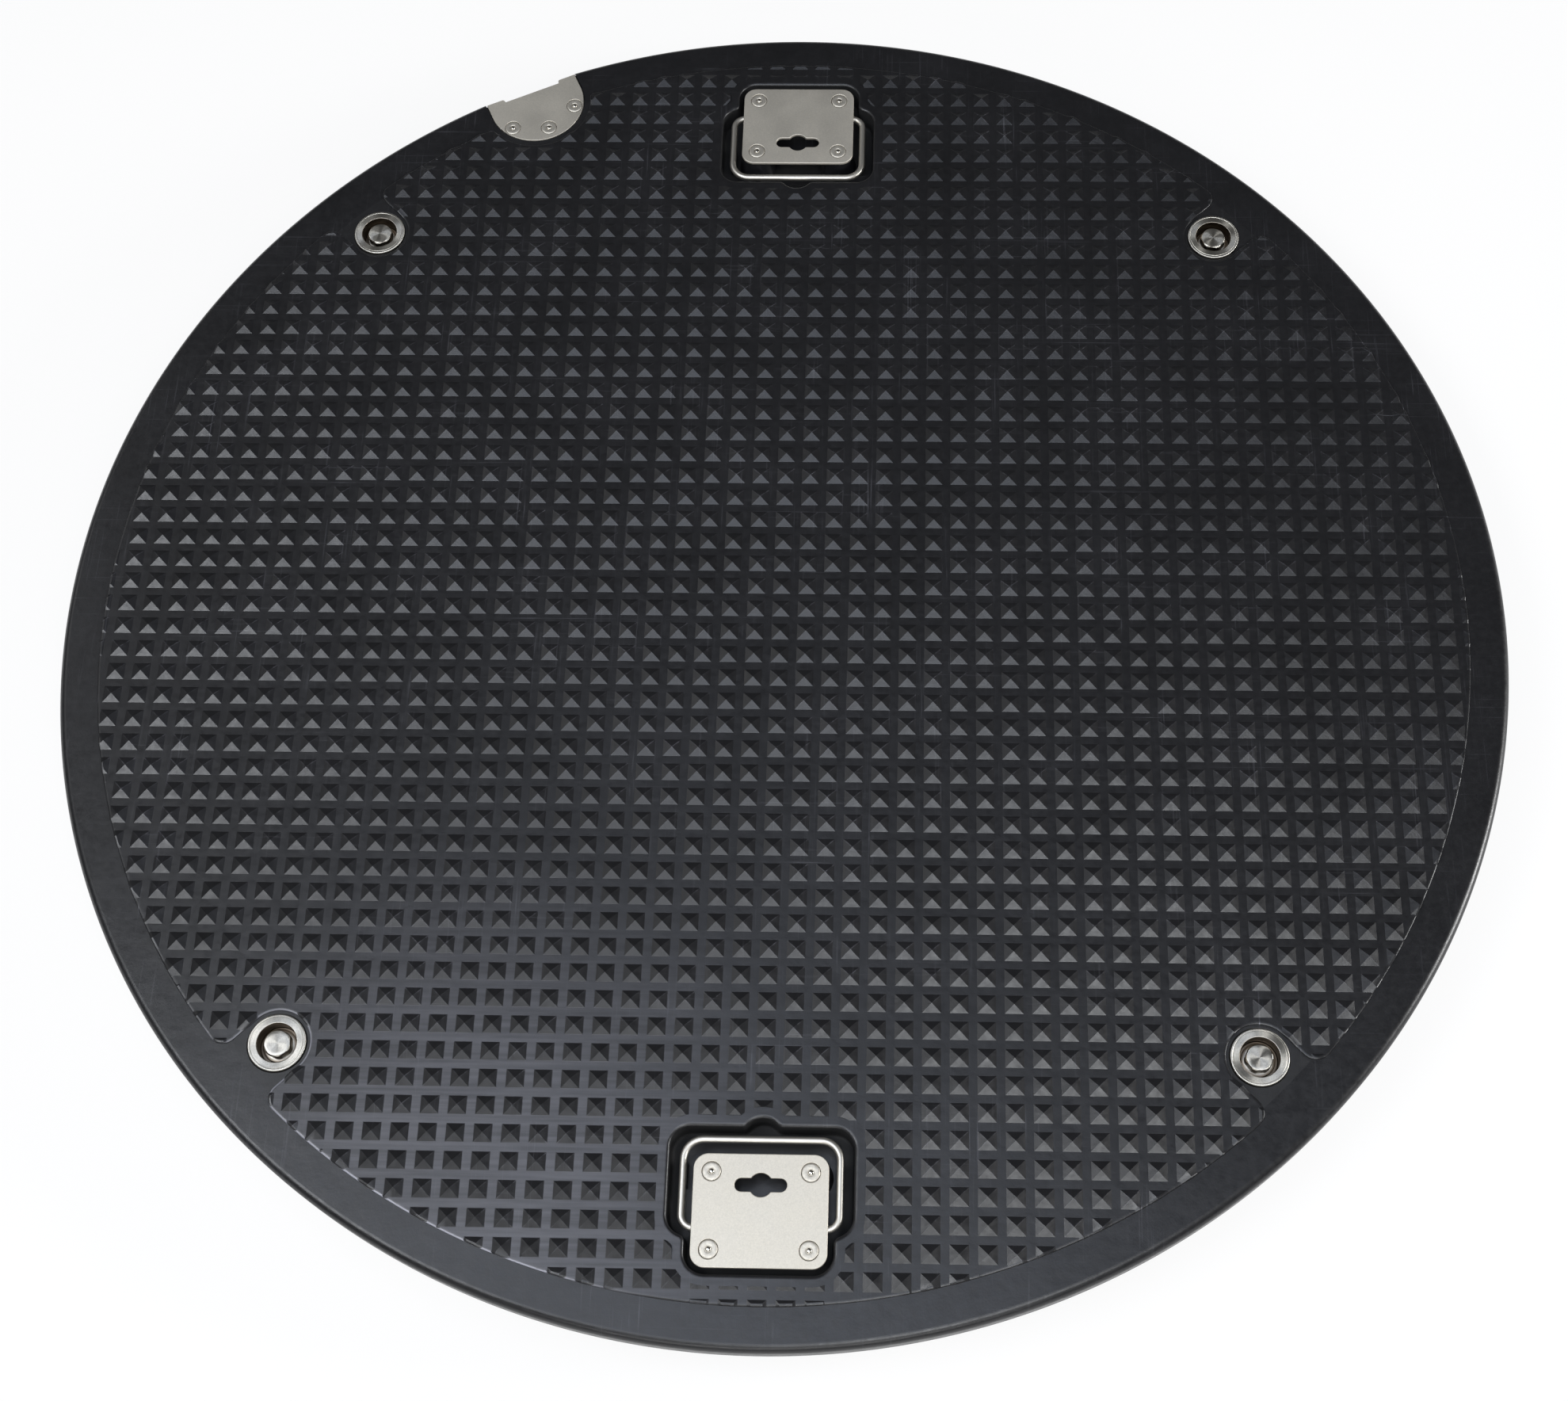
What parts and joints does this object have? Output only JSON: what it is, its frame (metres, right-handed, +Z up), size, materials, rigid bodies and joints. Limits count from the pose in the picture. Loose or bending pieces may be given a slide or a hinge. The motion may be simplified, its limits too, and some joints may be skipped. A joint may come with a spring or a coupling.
{
  "type": "access cover",
  "caption": "Round moulded access cover with a pyramid tread, flush folding bail handles over keyhole lift plates, recessed hold-down bolts and a pry plate at the rim.",
  "frame": {"origin": "centre of the flat underside of the dish, on the cover's axis", "axes": "+Z up out of the tread; the front handle lies towards -Y, the rear handle towards +Y"},
  "size_m": [0.9099, 0.9099, 0.061],
  "materials": {
    "moulded_composite": "satin charcoal glass-fibre composite, compression moulded",
    "sealing_rubber": "matt black flat ring",
    "satin_plate": "satin stainless sheet, stamped",
    "bright_wire": "drawn stainless wire, bent",
    "rivet_steel": "stainless blind rivets",
    "turned_steel": "turned stainless, slightly warm"
  },
  "bodies": {
    "cover": {"cover_body": "moulded_composite", "rim_gasket": "sealing_rubber", "front_lift_plate": "satin_plate", "rear_lift_plate": "satin_plate", "pry_plate": "satin_plate", "front_plate_rivets": "rivet_steel", "rear_plate_rivets": "rivet_steel", "pry_plate_rivets": "rivet_steel", "bolt_washers": "turned_steel", "hold_down_bolts": "turned_steel", "bolt_bush_1": "turned_steel", "bolt_bush_2": "turned_steel", "bolt_bush_3": "turned_steel", "bolt_bush_4": "turned_steel"},
    "front_bail": {"front_bail": "bright_wire"},
    "rear_bail": {"rear_bail": "bright_wire"}
  },
  "joints": [
    {"name": "front_bail_hinge", "type": "hinge", "parent": "cover", "child": "front_bail", "pos_m": [0, -0.3867, 0.05415], "axis": [1, 0, 0], "range_deg": [0, 120]},
    {"name": "rear_bail_hinge", "type": "hinge", "parent": "cover", "child": "rear_bail", "pos_m": [0, 0.3867, 0.05415], "axis": [-1, 0, 0], "range_deg": [0, 120]}
  ]
}
